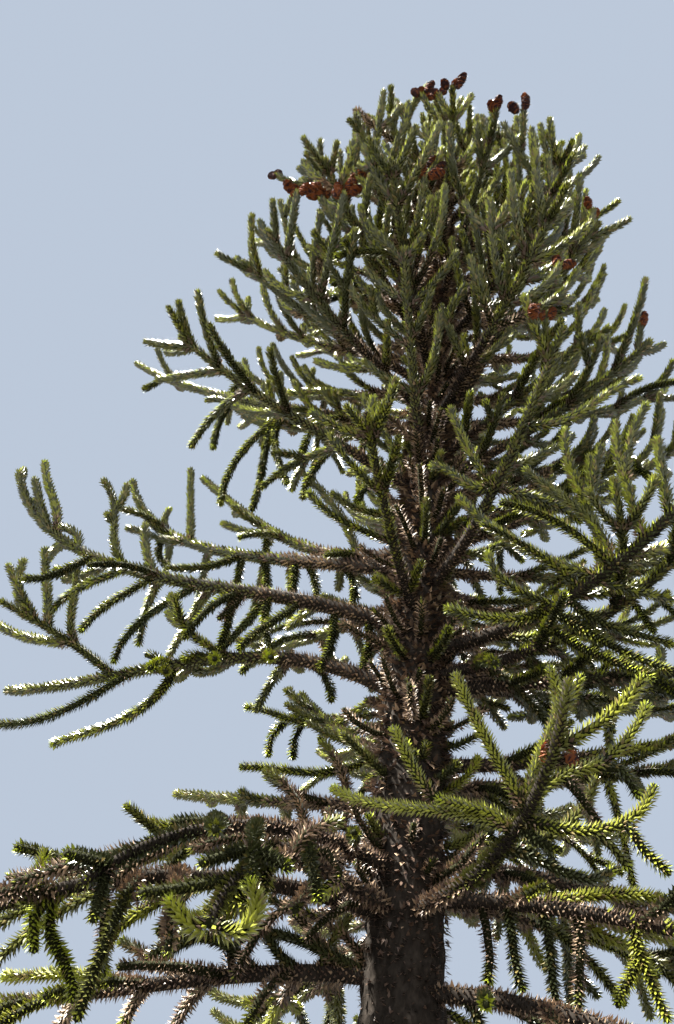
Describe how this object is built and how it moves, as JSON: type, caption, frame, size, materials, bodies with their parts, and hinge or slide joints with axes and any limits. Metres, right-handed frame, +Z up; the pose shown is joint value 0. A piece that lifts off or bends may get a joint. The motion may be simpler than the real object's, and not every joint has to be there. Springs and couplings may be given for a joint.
{
  "type": "monkey puzzle tree",
  "caption": "Whole evergreen tree: straight bare trunk with root flare, whorls of tapering boughs and rounded crown of rope-like leafy shoots.",
  "frame": {"origin": "middle of the flat cut under the trunk, at ground level", "axes": "+Z up along the trunk; +X to the right and +Y away as the picture sees the tree"},
  "size_m": [5.3316, 4.0615, 9.37],
  "materials": {
    "bark": "rough dark grey-brown bark with old leaf bases",
    "foliage": "stiff overlapping pointed leaves, olive to yellow-green, on rope-like shoots"
  },
  "bodies": {
    "root": {"bough_fifth_left": "bark", "bough_fourth_back": "bark", "bough_fourth_left": "bark", "bough_fourth_left_low": "bark", "bough_fourth_near_right": "bark", "bough_low_left": "bark", "bough_second_back": "bark", "bough_second_left_near": "bark", "bough_second_near_right": "bark", "bough_second_right": "bark", "bough_sixth_left": "bark", "bough_third_left": "bark", "leaves_fifth_back": "foliage", "leaves_fifth_left": "foliage", "leaves_fifth_left_upper": "foliage", "leaves_fifth_near_right": "foliage", "leaves_fifth_right": "foliage", "leaves_fourth_back": "foliage", "leaves_fourth_back_right": "foliage", "leaves_fourth_left": "foliage", "leaves_fourth_left_low": "foliage", "leaves_fourth_near": "foliage", "leaves_fourth_near_right": "foliage", "leaves_fourth_right": "foliage", "leaves_low_back": "foliage", "leaves_low_back_left": "foliage", "leaves_low_left": "foliage", "leaves_low_right_near": "foliage", "leaves_second_back": "foliage", "leaves_second_left": "foliage", "leaves_second_left_near": "foliage", "leaves_second_near_left": "foliage", "leaves_second_near_right": "foliage", "leaves_second_right": "foliage", "leaves_second_right_near": "foliage", "leaves_sixth_back": "foliage", "leaves_sixth_back_right": "foliage", "leaves_sixth_left": "foliage", "leaves_sixth_left_near": "foliage", "leaves_sixth_near": "foliage", "leaves_sixth_near_right": "foliage", "leaves_sixth_right_near": "foliage", "leaves_third_back": "foliage", "leaves_third_back_left": "foliage", "leaves_third_left": "foliage", "leaves_third_right": "foliage", "leaves_tier_a_1": "foliage", "leaves_tier_a_2": "foliage", "leaves_tier_a_3": "foliage", "leaves_tier_a_4": "foliage", "leaves_tier_a_5": "foliage", "leaves_tier_b_1": "foliage", "leaves_tier_b_2": "foliage", "leaves_tier_b_3": "foliage", "leaves_tier_b_4": "foliage", "leaves_tier_c_1": "foliage", "leaves_tier_c_2": "foliage", "leaves_tier_c_3": "foliage", "leaves_top": "foliage", "trunk": "bark"}
  },
  "joints": []
}
